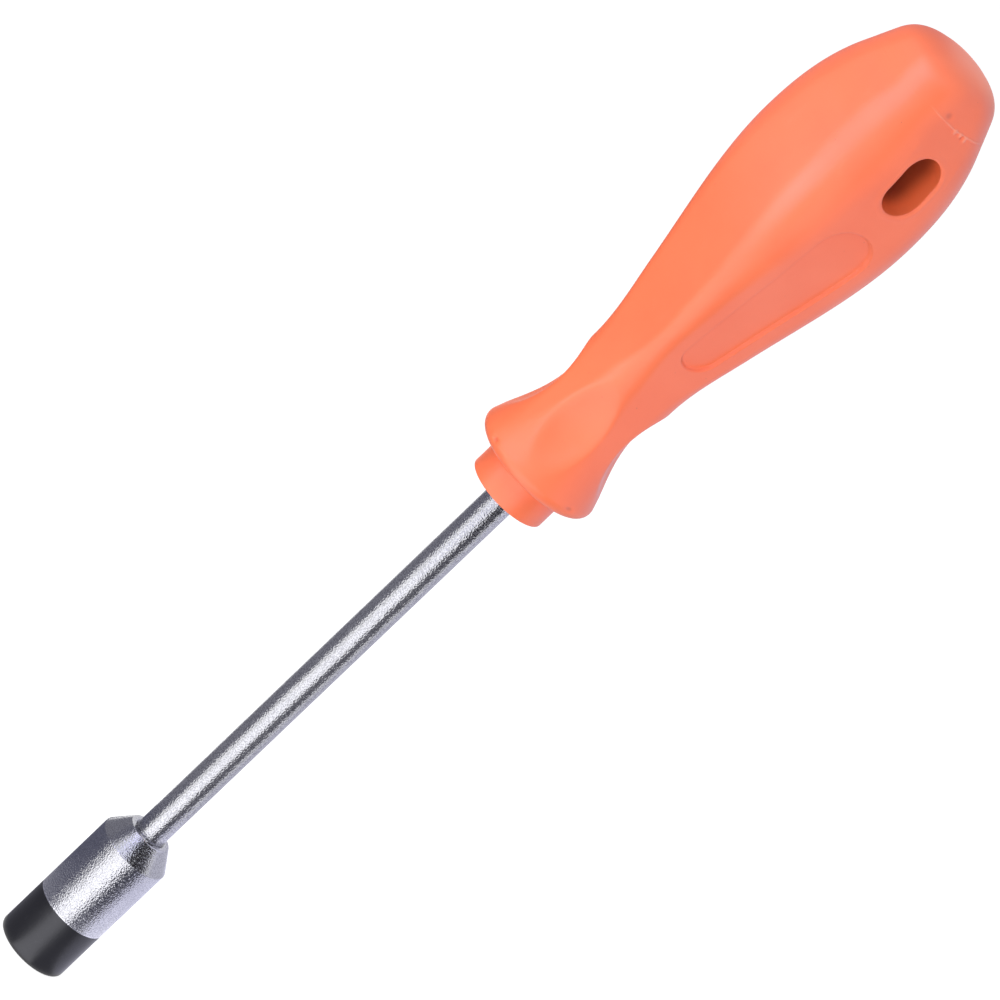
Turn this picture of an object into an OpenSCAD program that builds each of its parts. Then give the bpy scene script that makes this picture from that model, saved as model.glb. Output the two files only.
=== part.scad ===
// Nut driver with a fixed socket, a round bar shank and a moulded square grip.
// Millimetres. The tool stands on its socket: +Z runs along its axis, from the socket's
// mouth at 0 to the butt of the handle, and the hang hole runs along Y.

/* [Socket] */
// Size of the nut, across its flats
nut_af = 10; // [7:0.5:13]
// Play between the nut and the hexagon, across the flats
hex_play = 0.15; // [0.05:0.05:0.4]
// Depth of the hexagon
hex_depth = 11; // [8:0.5:16]
// Depth of the drilled bore that clears the end of a stud, behind the hexagon
stud_depth = 6; // [4:0.5:12]
// Thinnest wall outside the corners of the hexagon
socket_wall = 1.35; // [1:0.05:3]
// Thickness of solid steel between the stud bore and the end of the shank
web = 3.5; // [2:0.5:8]
// Length of the shank that is pressed into the socket
shank_seat = 11.5; // [8:0.5:20]
// Length of the cone at the back of the socket
cone_len = 4.1; // [2:0.1:8]
// Width of the flat ring round the shank at the back of the socket
rear_ring = 1.35; // [0.8:0.05:3]
// Rounding of the outer edge at the mouth
mouth_round = 0.7; // [0.2:0.1:1]
// Lead-in at the mouth of the hexagon
hex_lead = 0.8; // [0.4:0.1:1.2]
// Countersink round the shank at the back of the socket
rear_sink = 0.35; // [0.1:0.05:0.6]

/* [Shank] */
// Diameter of the bar
shank_d = 6; // [4:0.5:8]
// Length from the mouth of the socket to the front of the handle
blade_len = 125; // [90:1:200]
// Length of the bar inside the handle
shank_grip = 68; // [45:1:75]
// Bevel at both ends of the bar
bar_bevel = 0.5; // [0.2:0.1:1]
// Width over the two swaged wings
wing_w = 9.4; // [8:0.2:11]
// Thickness of the wings
wing_t = 2.2; // [1.5:0.1:3]
// Length of the wings
wing_len = 14; // [8:1:20]
// Distance from the end of the bar to the wings
wing_back = 8; // [4:1:14]

/* [Collar and guard] */
// Diameter of the collar
collar_d = 15.9; // [14:0.1:18]
// Rounding of the collar's front edge
collar_round = 0.2; // [0.2:0.1:1.2]
// Distance from the collar's face to the guard's front face
guard_z = 6.4; // [4:0.1:9]
// Diameter of the guard
guard_d = 25; // [22:0.1:30]
// Rounding of the guard's rim
guard_round = 1.9; // [0.8:0.1:2]
// Fillet between the collar and the guard
guard_fillet = 1.5; // [0.4:0.1:2]
// Fall of the flare behind the guard, in mm for each mm of length
flare = 0.36; // [0.2:0.02:0.5]

/* [Grip] */
// Length of the handle
handle_len = 112.7; // [105:0.1:135]
// Distance from the collar's face to the neck, at the corners
neck_z = 31.5; // [28:0.5:36]
// Width of the neck across its corners
neck_d = 19.1; // [17:0.1:22]
// Width of the neck across its flats
neck_flat = 16.3; // [14.5:0.1:18]
// Distance that the neck lies further back on the flats than on the corners
neck_shift = 4.5; // [0:0.5:8]
// Rise of the grip behind the neck, in mm for each mm of length
flank_rise = 0.19; // [0.12:0.01:0.24]
// Distance from the neck to the middle of the straight flank
flank_step = 17; // [12:0.5:20]
// Height that the flank has gained at its middle
flank_gain = 2.6; // [1.5:0.1:3.5]
// Widest size of the grip across its corners
grip_d = 34.6; // [31:0.2:38]
// Widest size of the grip across its flats
grip_flat = 29.1; // [26.5:0.1:31]
// Distance from the widest place to the butt
grip_back = 30.8; // [26:0.1:36]
// Fall of the shoulder towards the butt, in mm for each mm of length
shoulder_fall = 0.44; // [0.3:0.02:0.6]
// Distance from the shoulder line to the butt
shoulder_back = 10.3; // [9:0.1:13]
// Width of the shoulder line across its corners
shoulder_d = 27.4; // [25:0.1:30]
// Width of the shoulder line across its flats
shoulder_flat = 24; // [22:0.1:26]
// Height of the domed cap at the butt
cap_h = 4.8; // [3:0.1:7]
// Width of the cap across its corners
cap_d = 22.7; // [19:0.1:25]
// Width of the cap across its flats
cap_flat = 20.8; // [18:0.1:24]
// Distance that the shoulder runs on before the cap turns in
cap_edge = 3; // [2:0.1:5]
// Half width of the flat middle of the cap
cap_crown = 7.5; // [3:0.1:8]

/* [Thumb dents] */
// Radius of the ball that presses each dent
dent_r = 17.6; // [14:0.2:24]
// Distance from the collar's face to the middle of the dents
dent_z = 22.4; // [18:0.2:26]
// Least distance from the axis to the floor of a dent
dent_floor = 7.9; // [7:0.1:9]
// Softness of the dents' edges
dent_soft = 0.8; // [0.2:0.1:1.5]

/* [Recess and hang hole] */
// Depth of the recessed panel
recess_depth = 0.7; // [0.3:0.1:1.2]
// Distance from the collar's face to the front of the recess
recess_front = 41; // [38:0.5:50]
// Width of the recess at its front
recess_front_w = 7.6; // [6:0.2:10]
// Width of the recess at its back
recess_back_w = 12; // [9:0.2:13]
// Radius of the recess's back corners
recess_corner = 5.8; // [2:0.1:6]
// Strip of face between the recess and the hang hole
recess_gap = 5.9; // [4:0.1:10]
// Length of the hang hole
hole_len = 12; // [10:0.2:16]
// Width of the hang hole
hole_w = 7.8; // [5:0.2:9]
// Distance from the middle of the hang hole to the butt
hole_back = 19.8; // [17:0.1:24]

/* [Hidden] */
$fn = 64;
over = 1;

// Socket, worked out from the nut and the shank
hex_af = nut_af + hex_play;
hex_ac = hex_af / cos(30);
socket_r = hex_ac / 2 + socket_wall;
socket_len = hex_depth + stud_depth + web + shank_seat;
shank_r = shank_d / 2;
rear_r = shank_r + rear_ring;

// Grip, as stations of [distance from the collar's face, half width, slope]
collar_r = collar_d / 2;
guard_r = guard_d / 2;
flare_angle = atan(flare);
rim_z = guard_z + guard_round;
rim_r = guard_r - guard_round;
flare_start = [rim_z + guard_round * sin(flare_angle), rim_r + guard_round * cos(flare_angle), -flare];
grip_z = handle_len - grip_back;
shoulder_z = handle_len - shoulder_back;
cap_z = handle_len - cap_h;

function grip_line(neck, neck_at, grip, shoulder, cap) = [
    flare_start,
    [neck_at, neck / 2, 0],
    [neck_at + flank_step, neck / 2 + flank_gain * grip / grip_d, flank_rise * grip / grip_d],
    [grip_z, grip / 2, 0],
    [shoulder_z, shoulder / 2, -shoulder_fall],
    [cap_z, cap / 2, -shoulder_fall]
];
corner_line = grip_line(neck_d, neck_z, grip_d, shoulder_d, cap_d);
flat_line = grip_line(neck_flat, neck_z + neck_shift, grip_flat, shoulder_flat, cap_flat);

// Cubic curve between two stations, by their half widths and slopes
function curve(a, b, z) =
    let (h = b[0] - a[0], u = (z - a[0]) / h)
    a[1] * (1 + 2 * u) * pow(1 - u, 2) + a[2] * h * u * pow(1 - u, 2)
    + b[1] * u * u * (3 - 2 * u) + b[2] * h * u * u * (u - 1);

// Half width of a line of stations at a distance z from the collar's face
function along(line, z) =
    let (i = max([for (k = [0 : len(line) - 2]) z >= line[k][0] ? k : 0]))
    curve(line[i], line[i + 1], z);

// Lower of two distances, with the crease between them softened
function soft_min(a, b, soft) =
    let (h = max(soft - abs(a - b), 0) / soft)
    min(a, b) - h * h * soft / 4;

// Distance from the axis to a dent's ball, at an angle q from the dent's own direction
function dent(q, z) =
    let (c = dent_floor + dent_r, s = dent_r * dent_r - pow(z - dent_z, 2) - pow(c * sin(q), 2))
    s > 0 ? c * cos(q) - sqrt(s) : guard_d;

// Rounded square in polar form: q is the angle from the nearest corner
function rounded_square(corner, flat, q) =
    let (
        round = (flat * sqrt(2) - corner) / (sqrt(2) - 1),
        centre = corner - round,
        edge = 45 - atan(centre / sqrt(2) / flat)
    )
    q >= edge ? flat / cos(45 - q)
    : centre * cos(q) + sqrt(pow(round, 2) - pow(centre * sin(q), 2));

// One ring of the handle's skin: [distance, half width at the corners, half width at the flats]
ring_sides = 64;
function ring_points(ring) = [
    for (i = [0 : ring_sides - 1])
        let (
            a = i * 360 / ring_sides,
            q = abs(a % 90 - 45),
            plain = rounded_square(ring[1], ring[2], q),
            r = soft_min(plain, dent(q, ring[0]), dent_soft)
        )
        [r * cos(a), r * sin(a), ring[0]]
];

// Rings of the round front: collar edge, fillet, and the guard's rim up to the flare
edge_steps = 3;
rim_steps = 7;
function round_ring(z, r) = [z, r, r];
front_rings = [
    for (k = [0 : edge_steps])
        let (b = 90 * k / edge_steps)
        round_ring(collar_round * (1 - sin(b)), collar_r - collar_round * (1 - cos(b)))
];
collar_rings = [for (k = [edge_steps : -1 : 0]) front_rings[k]];
fillet_rings = [
    for (k = [0 : edge_steps])
        let (b = 90 * k / edge_steps)
        round_ring(guard_z - guard_fillet * (1 - sin(b)), collar_r + guard_fillet * (1 - cos(b)))
];
rim_rings = [
    for (k = [0 : rim_steps])
        let (b = (90 + flare_angle) * k / rim_steps - 90)
        round_ring(rim_z + guard_round * sin(b), rim_r + guard_round * cos(b))
];

// Rings of the grip from the flare to the shoulder, and of the cap, which is one cubic arc
grip_steps = 46;
grip_rings = [
    for (k = [1 : grip_steps])
        let (
            u = k / grip_steps,
            z = flare_start[0] + (cap_z - flare_start[0]) * (0.75 * u + 0.25 * u * u)
        )
        [z, along(corner_line, z), along(flat_line, z)]
];
cap_run = min(cap_edge, 0.8 * cap_h);
cap_line = [
    [cap_z, cap_d / 2], [cap_z + cap_run, cap_d / 2 - shoulder_fall * cap_run],
    [handle_len, cap_crown], [handle_len, 0]
];
cap_steps = 9;
cap_rings = [
    for (k = [1 : cap_steps])
        let (
            u = k / (cap_steps + 0.4),
            p = pow(1 - u, 3) * cap_line[0] + 3 * u * pow(1 - u, 2) * cap_line[1]
                + 3 * u * u * (1 - u) * cap_line[2] + pow(u, 3) * cap_line[3]
        )
        [p[0], p[1], p[1] * (cap_flat / cap_d * (1 - u) + u)]
];
rings = concat(collar_rings, fillet_rings, rim_rings, grip_rings, cap_rings);

// Places along the handle
hole_z = handle_len - hole_back;
recess_back = hole_z - hole_len / 2 - recess_gap;

// Lifts what is drawn from the collar's face to its place on the tool
module behind_collar() {
    translate([0, 0, blade_len]) children();
}

// Flat stadium outline, long in y
module stadium(length, width) {
    square([width, length - width], center = true);
    for (side = [-1, 1])
        translate([0, side * (length - width) / 2]) circle(d = width);
}

// Round bar with bevelled ends, from z0 to z1
module bar(z0, z1) {
    rotate_extrude()
        polygon([
            [0, z0], [shank_r - bar_bevel, z0], [shank_r, z0 + bar_bevel],
            [shank_r, z1 - bar_bevel], [shank_r - bar_bevel, z1], [0, z1]
        ]);
}

// Two wings pinched out of the bar, with sloping ends
module wings() {
    rise = (wing_w - shank_d) / 2;
    back = shank_grip - wing_back;
    translate([0, wing_t / 2, 0])
        rotate([90, 0, 0])
            linear_extrude(wing_t)
                polygon([
                    [0, back - wing_len], [shank_r, back - wing_len], [wing_w / 2, back - wing_len + rise],
                    [wing_w / 2, back - rise], [shank_r, back], [-shank_r, back],
                    [-wing_w / 2, back - rise], [-wing_w / 2, back - wing_len + rise],
                    [-shank_r, back - wing_len]
                ]);
}

// Turned outside of the socket: rounded mouth, straight body, cone and rear ring
module socket_turned() {
    rotate_extrude() {
        polygon([
            [0, 0], [socket_r - mouth_round, 0], [socket_r - mouth_round, mouth_round],
            [socket_r, mouth_round], [socket_r, socket_len - cone_len], [rear_r, socket_len], [0, socket_len]
        ]);
        translate([socket_r - mouth_round, mouth_round]) circle(r = mouth_round);
    }
}

// Cone that leads the nut into the hexagon, from its corners at the mouth to its flats
module hex_lead_in() {
    widen = (hex_ac - hex_af) / 2 / hex_lead;
    translate([0, 0, -over])
        cylinder(r1 = hex_ac / 2 + widen * over, r2 = hex_af / 2, h = over + hex_lead);
}

// Countersink round the shank at the back of the socket
module rear_countersink() {
    translate([0, 0, socket_len - rear_sink])
        cylinder(r1 = shank_r, r2 = shank_r + rear_sink + over, h = rear_sink + over);
}

module socket() {
    color([0.74, 0.74, 0.76])
        difference() {
            socket_turned();
            translate([0, 0, -over])
                linear_extrude(hex_depth + over) circle(d = hex_ac, $fn = 6);
            translate([0, 0, hex_depth - over])
                cylinder(d = nut_af, h = stud_depth + over);
            hex_lead_in();
            translate([0, 0, socket_len - shank_seat])
                cylinder(d = shank_d, h = shank_seat + over);
            rear_countersink();
        }
}

module shank() {
    color([0.78, 0.78, 0.8]) {
        bar(socket_len - shank_seat, blade_len + shank_grip);
        behind_collar() wings();
    }
}

// Skin of the handle: rounded square rings joined into one closed loft
module handle_skin() {
    count = len(rings);
    points = [for (ring = rings) each ring_points(ring)];
    sides = [
        for (j = [0 : count - 2], i = [0 : ring_sides - 1])
            let (
                next = (i + 1) % ring_sides,
                a = j * ring_sides + i,
                b = j * ring_sides + next
            )
            each [[a, a + ring_sides, b], [b, a + ring_sides, b + ring_sides]]
    ];
    front = [for (i = [0 : ring_sides - 1]) i];
    back = [for (i = [ring_sides - 1 : -1 : 0]) (count - 1) * ring_sides + i];
    polyhedron(points = points, faces = concat(sides, [front, back]));
}

// Tapered panel outline on the face, along y, rounded at the front and at both back corners
module recess_outline() {
    front_r = recess_front_w / 2;
    back_r = min(recess_corner, recess_back_w / 2);
    back_x = recess_back_w / 2 - back_r;
    hull() {
        translate([0, recess_front + front_r]) circle(r = front_r);
        for (side = [-1, 1])
            translate([side * back_x, recess_back - back_r]) circle(r = back_r);
    }
}

// Everything outside the floor of the recess, which follows the face at one depth
module above_recess_floor() {
    steps = 12;
    floor_line = [
        for (k = [0 : steps])
            let (z = recess_front - over + (recess_back - recess_front + 2 * over) * k / steps)
            [-(along(flat_line, z) - recess_depth), z]
    ];
    outside = -grip_d;
    rotate([90, 0, 90])
        linear_extrude(recess_back_w + 2 * over, center = true)
            polygon(concat(floor_line, [[outside, recess_back + over], [outside, recess_front - over]]));
}

module handle() {
    color([1, 0.45, 0.2])
        behind_collar()
            difference() {
                handle_skin();
                translate([0, 0, -over]) cylinder(d = shank_d, h = shank_grip + over);
                wings();
                translate([0, grip_d / 2, hole_z])
                    rotate([90, 0, 0]) linear_extrude(grip_d) stadium(hole_len, hole_w);
                intersection() {
                    rotate([90, 0, 0]) linear_extrude(grip_d) recess_outline();
                    above_recess_floor();
                }
            }
}

socket();
shank();
handle();
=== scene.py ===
# %% [markdown]
# # A nut driver, from its solids to a finished picture
# The tool has three pieces: a turned steel socket with a blackened nose, a round steel bar
# and a moulded orange grip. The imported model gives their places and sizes, and this lesson
# rebuilds their skins as smooth surfaces, paints them and lights them.

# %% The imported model
import bpy
import numpy as np
from mathutils import Matrix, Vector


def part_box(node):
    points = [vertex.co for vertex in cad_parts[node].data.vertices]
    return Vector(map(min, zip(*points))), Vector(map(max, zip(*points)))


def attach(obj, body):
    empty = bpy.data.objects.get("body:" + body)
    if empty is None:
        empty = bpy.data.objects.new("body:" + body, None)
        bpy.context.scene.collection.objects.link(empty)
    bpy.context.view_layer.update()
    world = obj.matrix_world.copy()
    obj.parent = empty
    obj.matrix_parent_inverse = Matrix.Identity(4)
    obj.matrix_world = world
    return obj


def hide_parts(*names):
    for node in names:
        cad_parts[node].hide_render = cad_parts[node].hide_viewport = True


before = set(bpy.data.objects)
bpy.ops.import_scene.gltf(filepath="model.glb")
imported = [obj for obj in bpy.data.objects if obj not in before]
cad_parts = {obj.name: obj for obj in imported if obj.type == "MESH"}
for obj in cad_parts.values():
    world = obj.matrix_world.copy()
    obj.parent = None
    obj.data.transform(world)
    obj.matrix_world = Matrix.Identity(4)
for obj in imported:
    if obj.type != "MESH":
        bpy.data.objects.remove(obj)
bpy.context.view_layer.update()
print("nodes:", sorted(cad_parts))

# %% [markdown]
# ## Sizes
# All lengths are in millimetres, and only the last step of an object turns them into metres.
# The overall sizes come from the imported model, so that a surface can't drift from its solid.
# The tool stands on its socket: z runs from the mouth to the butt.

# %% Overall sizes from the model
MM = 0.001


def span(node):
    """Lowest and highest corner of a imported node, in millimetres."""
    low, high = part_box(node)
    return np.array(low) / MM, np.array(high) / MM


socket_high = span("socket")[1]
bar_low, bar_high = span("shank")
grip_low, grip_high = span("handle")
socket_r = socket_high[0]
socket_len = socket_high[2]
bar_start, bar_end = bar_low[2], bar_high[2]
collar_face = grip_low[2]
grip_len = round(grip_high[2] - collar_face, 1)
print(f"socket {socket_len:.1f}, blade {collar_face:.1f}, grip {grip_len:.1f} mm")

# %% [markdown]
# ## Skins from rings
# Every piece here can be peeled as one closed skin: rings of points that follow each other,
# each with the same number of columns, and a single point that closes each end. Numpy holds
# the rings as one array of rows, columns and xyz, and the faces are index arithmetic. This
# gives clean quads where a boolean would leave slivers, and reflections stay smooth.


# %% Faces between rings
def ring_faces(index):
    """Quads between neighbouring rows of an index grid, closed round the columns."""
    ahead = np.roll(index, -1, axis=1)
    return np.stack([index[:-1], ahead[:-1], ahead[1:], index[1:]], axis=-1)


def fan(ring, pole):
    """Triangles from each edge of a ring to one pole."""
    return np.stack([ring, np.roll(ring, -1), np.full_like(ring, pole)], axis=-1)


def closed_skin(rings):
    """Points, quads and end triangles of a skin whose first and last ring close on the axis."""
    rows, columns = rings.shape[:2]
    index = np.arange(rows * columns).reshape(rows, columns)
    poles = rings[[0, -1]].mean(axis=1)
    points = np.concatenate([rings.reshape(-1, 3), poles])
    pole = rows * columns
    ends = np.concatenate([fan(index[0][::-1], pole), fan(index[-1], pole + 1)])
    return points, ring_faces(index), ends


print("a fan over a ring of 6 points has", len(fan(np.arange(6), 6)), "triangles")

# %% Objects, and a piece that stands for its node
CUBIC_CM = 1000.0


def volume(points, quads, triangles):
    """Signed volume in cubic centimetres: a sixth of each triangle's triple product, summed."""
    corners = points[np.concatenate([quads[:, [0, 1, 2]], quads[:, [0, 2, 3]], triangles])]
    triple = np.einsum("ij,ij->i", corners[:, 0], np.cross(corners[:, 1], corners[:, 2]))
    return triple.sum() / 6 / CUBIC_CM


def add_object(name, data):
    """A new object in the scene, at the origin."""
    made = bpy.data.objects.new(name, data)
    bpy.context.scene.collection.objects.link(made)
    return made


def add_mesh(name, points, faces, material):
    """An object with a mesh of points in millimetres, in one material."""
    mesh = bpy.data.meshes.new(name)
    mesh.from_pydata((np.array(points) * MM).tolist(), [], faces)
    mesh.materials.append(material)
    return add_object(name, mesh)


def make_piece(name, points, quads, triangles, material, node):
    """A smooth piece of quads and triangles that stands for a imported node."""
    piece = add_mesh(name, points, quads.tolist() + triangles.tolist(), material)
    mesh = piece.data
    mesh.polygons.foreach_set("use_smooth", np.ones(len(mesh.polygons), bool))
    mesh.update()
    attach(piece, "root")
    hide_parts(node)
    print(f"{name}: {len(points)} points, {volume(points, quads, triangles):.2f} cm3")
    return piece


# %% [markdown]
# ## Finishes as expressions
# A finish is a small graph of shader nodes. Writing it as arithmetic keeps it readable, so
# one class wraps a node's output and overloads the operators, and one method makes any node.


# %% Shader sockets that behave like numbers
class Flow:
    """One output of a shader node, which adds, subtracts, multiplies and divides like a number."""

    def __init__(self, paint, socket):
        self.paint = paint
        self.socket = socket

    def math(self, operation, *values):
        """A Math node on these values."""
        return self.paint.node("Math", {"operation": operation}, dict(enumerate(values)))

    def __add__(self, other):
        return self.math("ADD", self, other)

    def __sub__(self, other):
        return self.math("SUBTRACT", self, other)

    def __rsub__(self, other):
        return self.math("SUBTRACT", other, self)

    def __mul__(self, other):
        return self.math("MULTIPLY", self, other)

    def __truediv__(self, other):
        return self.math("DIVIDE", self, other)

    def __abs__(self):
        return self.math("ABSOLUTE", self)

    __radd__ = __add__
    __rmul__ = __mul__

    def ease(self, low, high):
        """0 below low and 1 above high, with a smooth step between them."""
        ends = {"Value": self, "From Min": low, "From Max": high}
        return self.paint.node("MapRange", {"interpolation_type": "SMOOTHSTEP"}, ends)


# %% Nodes from one method
class Paint:
    """A node tree under construction."""

    def __init__(self, tree):
        self.tree = tree
        tree.nodes.clear()

    def node(self, kind, settings=None, values=None, out=0):
        """Adds a node: its settings first, then each socket's value or link."""
        made = self.tree.nodes.new("ShaderNode" + kind)
        for key, value in (settings or {}).items():
            setattr(made, key, value)
        for key, value in (values or {}).items():
            if isinstance(value, Flow):
                self.tree.links.new(value.socket, made.inputs[key])
            else:
                made.inputs[key].default_value = value
        return Flow(self, made.outputs[out]) if made.outputs else None

    def place(self):
        """The piece's own coordinates, in metres."""
        return self.node("TexCoord", out="Object")

    def noise(self, place, per_metre, detail=2.0, rough=0.5):
        """Cloudy noise between about 0 and 1, with so many lumps to the metre."""
        values = {"Vector": place, "Scale": per_metre, "Detail": detail, "Roughness": rough}
        return self.node("TexNoise", values=values)

    def stretch(self, place, scale):
        """Coordinates times a scale along each axis."""
        return self.node("Mapping", {"vector_type": "POINT"}, {"Vector": place, "Scale": scale})

    def blend(self, factor, first, second):
        """Mix of two colours."""
        return self.node("Mix", {"data_type": "RGBA"}, {0: factor, 6: first, 7: second}, out=2)

    def bump(self, height, depth_mm, strength=1.0, normal=None):
        """Normal of the surface when it is raised by the height times a depth."""
        values = {"Height": height, "Distance": depth_mm * MM, "Strength": strength}
        if normal is not None:
            values["Normal"] = normal
        return self.node("Bump", values=values)

    def surface(self, values):
        """The finish's shader, linked to the output."""
        shader = self.node("BsdfPrincipled", values=values)
        self.node("OutputMaterial", values={"Surface": shader})


def new_finish(name):
    """A new material, and its empty node tree as a paint."""
    material = bpy.data.materials.new(name)
    material.use_nodes = True
    return material, Paint(material.node_tree)


print("materials before the first finish:", len(bpy.data.materials))

# %% [markdown]
# ## Orange plastic
# The grip is a satin polypropylene moulding. Its colour is nearly even, with faint clouds from
# the mould, a fine spark-eroded grain that breaks up the shine, a few rubbed patches and tiny
# dark specks of shop dirt. Burrs are pale and pits are darkened with painted shade, which the
# finish reads from the piece's own scars. Shade is also painted deep in the hang hole.

# %% The grip's finish
ORANGE = (0.94, 0.18, 0.06, 1)
DEEP_ORANGE = (0.92, 0.166, 0.053, 1)
RUBBED_ORANGE = (0.95, 0.225, 0.1, 1)
PALE_SCAR = (0.96, 0.32, 0.19, 1)
# Painted shade for the pits, darker with their depth
PIT_SHADE = (0.6, 0.11, 0.04, 1)
SPECK = (0.45, 0.1, 0.045, 1)
# Painted shade: the darker orange laid deep in the hang hole
HOLE_SHADE = (0.3, 0.045, 0.012, 1)
SHINE, SHINE_TINT = 0.85, (1.0, 1.0, 1.2, 1)
HOLE_FROM_BUTT = 19.8
hole_z = grip_len - HOLE_FROM_BUTT
HOLE_SHADE_HALF_W, HOLE_SHADE_HALF_LEN, HOLE_SHADE_EDGE = 4.2, 6.2, 0.2
HOLE_SHADE_FROM, HOLE_SHADE_FULL = 12.5, 8.0
RUB_STRETCH = (1, 1, 0.3)
# Lumps to the metre, octaves and roughness of each noise
MOULD_CLOUDS, RUBBED, SPECKS = (90, 3), (260, 4, 0.65), (1500, 0)
ORANGE_PEEL, MOULD_GRAIN = (700, 2), (2600, 2)
# Values between which each mask rises from 0 to 1, and its share in the colour
CLOUD_BAND, RUB_BAND, SPECK_BAND = (0.35, 0.75), (0.6, 0.8), (0.87, 0.89)
BURR_BAND, PIT_BAND = (0.02, 0.2), (0.05, 0.25)
RUB_SHARE, SPECK_SHARE, BURR_SHARE, PIT_SHADE_SHARE, HOLE_SHADE_SHARE = 0.3, 0.4, 0.7, 0.6, 0.8
# Depth in millimetres and strength of each bump
PEEL_BUMP, MOULD_BUMP = (0.03, 0.35), (0.025, 0.5)
# Roughness, and what clouds and rubbing add to it
SATIN, CLOUD_DULLS, RUB_DULLS = 0.36, 0.08, 0.06


def hole_shade_mask(paint, place):
    """Mask of the shade painted in the hang hole: 1 deep inside, fading to 0 towards its mouths,
    and 0 outside its outline.
    """
    axes = (paint.node("SeparateXYZ", values={0: place}, out=axis) for axis in range(3))
    across, deep, height = (value / MM for value in axes)
    between = abs(across).ease(HOLE_SHADE_HALF_W, HOLE_SHADE_HALF_W - HOLE_SHADE_EDGE)
    from_middle = abs(height - (collar_face + hole_z))
    between = between * from_middle.ease(HOLE_SHADE_HALF_LEN, HOLE_SHADE_HALF_LEN - HOLE_SHADE_EDGE)
    return between * abs(deep).ease(HOLE_SHADE_FROM, HOLE_SHADE_FULL)


def orange_plastic():
    """Clouded orange with fine grain, rubbed patches, specks and pale burrs, and painted shade
    in the pits and deep in the hang hole.
    """
    material, paint = new_finish("orange_plastic")
    place = paint.place()
    clouds = paint.noise(place, *MOULD_CLOUDS)
    rub = paint.noise(paint.stretch(place, RUB_STRETCH), *RUBBED).ease(*RUB_BAND)
    speck = paint.noise(place, *SPECKS).ease(*SPECK_BAND)
    scar = paint.node("Attribute", {"attribute_name": "scar"}, out="Fac")
    layers = [
        (clouds.ease(*CLOUD_BAND), DEEP_ORANGE),
        (rub * RUB_SHARE, RUBBED_ORANGE),
        (speck * SPECK_SHARE, SPECK),
        (scar.ease(*BURR_BAND) * BURR_SHARE, PALE_SCAR),
        # Painted shade in the pits
        ((0 - scar).ease(*PIT_BAND) * PIT_SHADE_SHARE, PIT_SHADE),
        # Painted shade deep in the hang hole
        (hole_shade_mask(paint, place) * HOLE_SHADE_SHARE, HOLE_SHADE),
    ]
    colour = ORANGE
    for share, layer in layers:
        colour = paint.blend(share, colour, layer)
    relief = paint.bump(paint.noise(place, *ORANGE_PEEL), *PEEL_BUMP)
    relief = paint.bump(paint.noise(place, *MOULD_GRAIN), *MOULD_BUMP, relief)
    paint.surface({
        "Base Color": colour,
        "Roughness": SATIN + clouds * CLOUD_DULLS + rub * RUB_DULLS,
        "Specular IOR Level": SHINE,
        "Specular Tint": SHINE_TINT,
        "Normal": relief,
    })
    return material


plastic = orange_plastic()
print("finish:", plastic.name)

# %% [markdown]
# ## Satin chrome and the blackened nose
# Bar and socket are plated over a fine blasted grain, so they mirror the room in a sparkling,
# dithered way. A low roughness with a fine bump scatters the mirror image, and a shade in the
# hollows of the grain keeps its specks visible from further off. Turning marks ring the cone.
# The nose is blackened up to a line, and a thin brighter band of steel just above it is a painted
# highlight on that edge.

# %% Plating, and the bar's finish
CHROME = (0.6, 0.6, 0.616, 1)
WORN_CHROME = (0.54, 0.54, 0.556, 1)
GRAIN_SHADE = (0.38, 0.38, 0.4, 1)
DRAWN_STRETCH = (1, 1, 0.02)
# Lumps of the grain to the metre, and how far the hollows take on its shade
BAR_GRAIN = (3600, 0.8)
# Lumps to the metre and octaves of each other noise
PLATE_CLOUDS, DRAWN_LINES = (300, 3), (2600, 2)
# Values between which each mask rises from 0 to 1, and the worn colour's share
WORN_BAND, HOLLOW_BAND, WORN_SHARE = (0.3, 0.8), (0.42, 0.62), 0.6
# Depth in millimetres and strength of each bump
DRAWN_BUMP, BAR_BUMP = (0.02, 0.1), (0.066, 1.0)
# Roughness, and what clouds add to it
BAR_SATIN, BAR_DULLS = 0.18, 0.06


def plating(paint, place, per_metre, speckle):
    """Grain of the blasted steel, clouds of the plating, and its colour with shaded hollows."""
    grain = paint.noise(place, per_metre, 0)
    clouds = paint.noise(place, *PLATE_CLOUDS)
    colour = paint.blend(clouds.ease(*WORN_BAND) * WORN_SHARE, CHROME, WORN_CHROME)
    colour = paint.blend((1 - grain).ease(*HOLLOW_BAND) * speckle, colour, GRAIN_SHADE)
    return grain, clouds, colour


def satin_chrome():
    """Grainy plated steel for the bar, with faint drawing lines along it."""
    material, paint = new_finish("satin_chrome")
    place = paint.place()
    grain, clouds, colour = plating(paint, place, *BAR_GRAIN)
    drawn = paint.noise(paint.stretch(place, DRAWN_STRETCH), *DRAWN_LINES)
    relief = paint.bump(drawn, *DRAWN_BUMP)
    relief = paint.bump(grain, *BAR_BUMP, relief)
    paint.surface({
        "Base Color": colour,
        "Metallic": 1.0,
        "Roughness": BAR_SATIN + clouds * BAR_DULLS,
        "Normal": relief,
    })
    return material


bar_steel = satin_chrome()
print("finish:", bar_steel.name)

# %% The socket's finish
# A lighter steel, painted as a highlight along the edge of the blackened nose
EDGE_HIGHLIGHT = (0.68, 0.68, 0.71, 1)
NOSE_BLACK = (0.066, 0.066, 0.07, 1)
NOSE_RUBBED = (0.12, 0.12, 0.13, 1)
NOSE_LEN, NOSE_EDGE = 11.2, 0.03
EDGE_WAVE, EDGE_LINE = 0.12, 0.3
cone_len, CONE_EDGE = 4.1, 0.2
TURNED_STRETCH = (0.01, 0.01, 1)
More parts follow.
